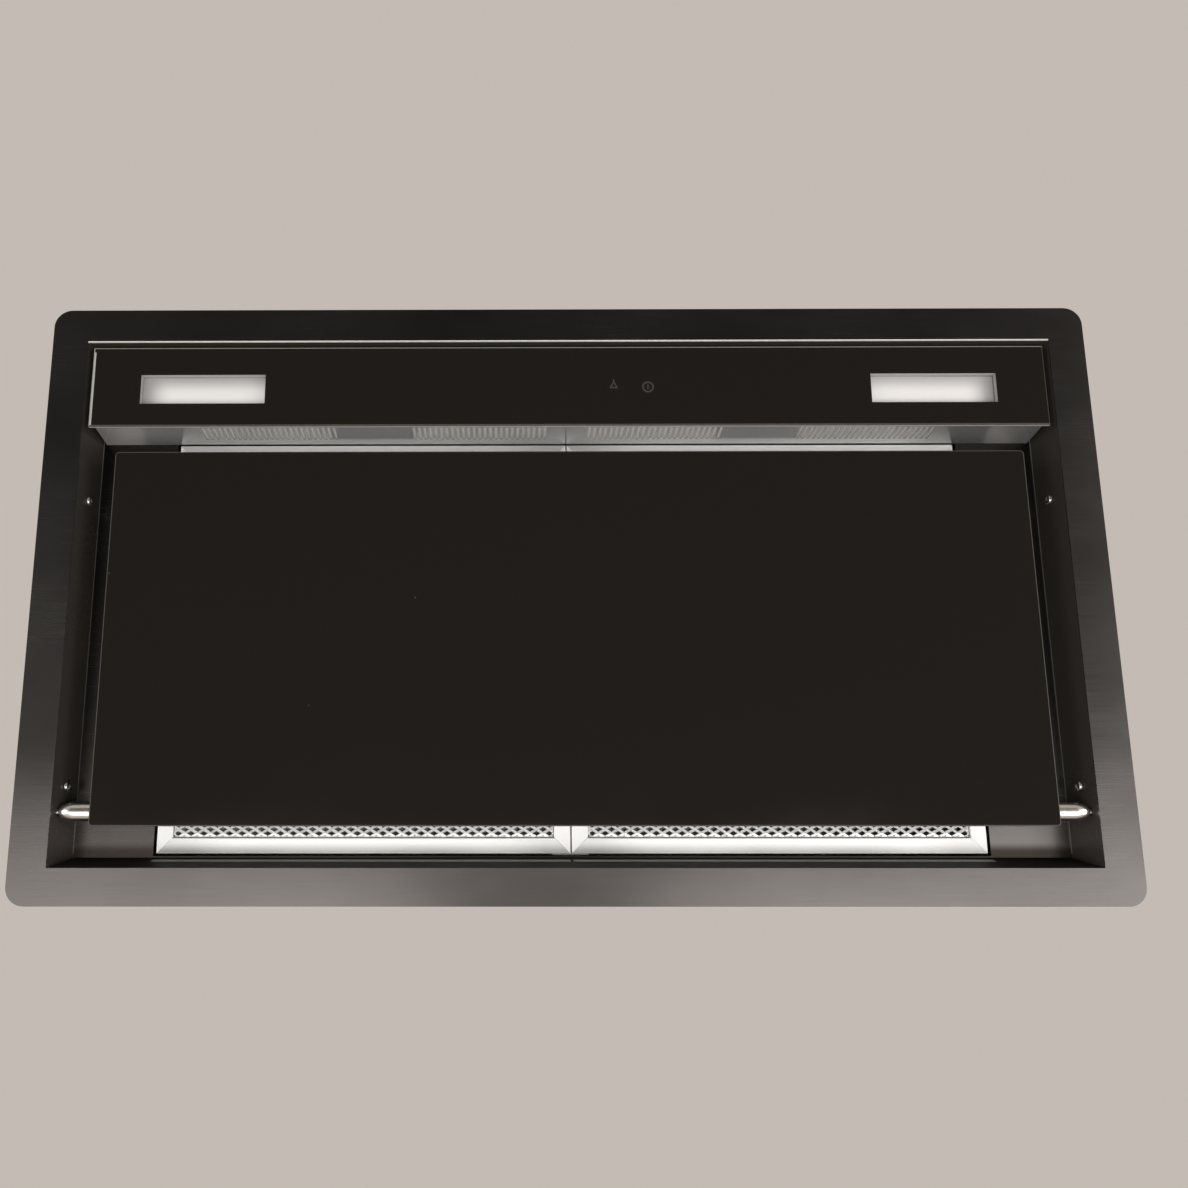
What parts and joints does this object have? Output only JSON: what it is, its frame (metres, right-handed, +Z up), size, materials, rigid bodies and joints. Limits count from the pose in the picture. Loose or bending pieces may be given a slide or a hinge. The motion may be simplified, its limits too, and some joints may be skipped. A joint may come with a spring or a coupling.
{
  "type": "range hood insert",
  "caption": "Built-in range hood insert with a glass control bar, a hinged glass suction panel, mesh grease filters, blower and exhaust collar.",
  "frame": {"origin": "centre of the outline, at the visible underside of the flange and panel", "axes": "+Z up as installed, towards the duct; +X to the right seen from the cook's side; -Y is the control bar side (cook), +Y the pivot side (wall)"},
  "size_m": [0.7, 0.394, 0.3262],
  "materials": {
    "satin_dark_steel": "satin, dark coated stainless",
    "black_glass": "polished, opaque black",
    "zinc_steel": "zinc plated",
    "chrome": "polished",
    "filter_aluminium": "satin anodised",
    "filter_mesh": "expanded metal",
    "galvanised_steel": "galvanised, faint spangle",
    "motor_steel": "plain pressed steel",
    "black_plastic": "fine grain",
    "grey_plastic": "fine grain",
    "white_plastic": "matt",
    "light_lens": "frosted diffuser",
    "circuit_board": "solder mask",
    "rubber": "matt"
  },
  "bodies": {
    "hood": {"flange_tray": "satin_dark_steel", "control_housing": "satin_dark_steel", "control_glass": "black_glass", "damper_axle": "zinc_steel", "spring_clip_front_left": "zinc_steel", "spring_clip_front_right": "zinc_steel", "spring_clip_rear_left": "zinc_steel", "spring_clip_rear_right": "zinc_steel", "catch_magnet_left": "chrome", "catch_magnet_right": "chrome", "clip_screw_front_left": "chrome", "clip_screw_front_right": "chrome", "clip_screw_rear_left": "chrome", "clip_screw_rear_right": "chrome", "filter_frame_left": "filter_aluminium", "filter_frame_right": "filter_aluminium", "filter_mesh_left": "filter_mesh", "filter_mesh_right": "filter_mesh", "plenum_casing": "galvanised_steel", "motor_casing": "galvanised_steel", "filter_centre_rail": "galvanised_steel", "motor_bracket": "galvanised_steel", "capacitor_clip": "galvanised_steel", "motor_body": "motor_steel", "exhaust_collar": "black_plastic", "terminal_box": "black_plastic", "terminal_box_lid": "black_plastic", "cable_gland": "black_plastic", "pivot_block_left": "black_plastic", "pivot_block_right": "black_plastic", "catch_post_left": "black_plastic", "catch_post_right": "black_plastic", "inlet_ring_left": "black_plastic", "inlet_ring_right": "black_plastic", "scroll_half_left": "grey_plastic", "scroll_half_right": "grey_plastic", "capacitor": "white_plastic", "driver_box": "white_plastic", "driver_box_lid": "white_plastic", "light_module_left": "white_plastic", "light_module_right": "white_plastic", "light_lens_left": "light_lens", "light_lens_right": "light_lens", "touch_board": "circuit_board", "rubber_mount_1": "rubber", "rubber_mount_2": "rubber", "rubber_mount_3": "rubber"},
    "panel": {"panel_glass": "black_glass", "panel_tray": "zinc_steel", "pivot_pin_left": "chrome", "pivot_pin_right": "chrome", "pin_block_left": "zinc_steel", "pin_block_right": "zinc_steel"},
    "impeller": {"impeller_left": "black_plastic", "impeller_right": "black_plastic", "motor_shaft": "zinc_steel"},
    "damper_front": {"damper_flap_front": "black_plastic"},
    "damper_rear": {"damper_flap_rear": "black_plastic"},
    "latch_left": {"filter_latch_left": "black_plastic"},
    "latch_right": {"filter_latch_right": "black_plastic"}
  },
  "joints": [
    {"name": "panel_hinge", "type": "hinge", "parent": "hood", "child": "panel", "pos_m": [0, 0.14, 0.0086], "axis": [1, 0, 0], "range_deg": [0, 90]},
    {"name": "impeller_spin", "type": "hinge", "parent": "hood", "child": "impeller", "pos_m": [0, -0.022, 0.1452], "axis": [1, 0, 0], "continuous": true},
    {"name": "damper_front_hinge", "type": "hinge", "parent": "hood", "child": "damper_front", "pos_m": [0, 0.0375, 0.2743], "axis": [-1, 0, 0], "range_deg": [0, 75]},
    {"name": "damper_rear_hinge", "type": "hinge", "parent": "hood", "child": "damper_rear", "pos_m": [0, 0.0375, 0.2743], "axis": [1, 0, 0], "range_deg": [0, 75]},
    {"name": "latch_left_slide", "type": "slide", "parent": "hood", "child": "latch_left", "axis": [0, 1, 0], "range_m": [0, 0.005], "stiffness_N_per_m": 400, "springref_m": -0.005},
    {"name": "latch_right_slide", "type": "slide", "parent": "hood", "child": "latch_right", "axis": [0, 1, 0], "range_m": [0, 0.005], "stiffness_N_per_m": 400, "springref_m": -0.005}
  ]
}
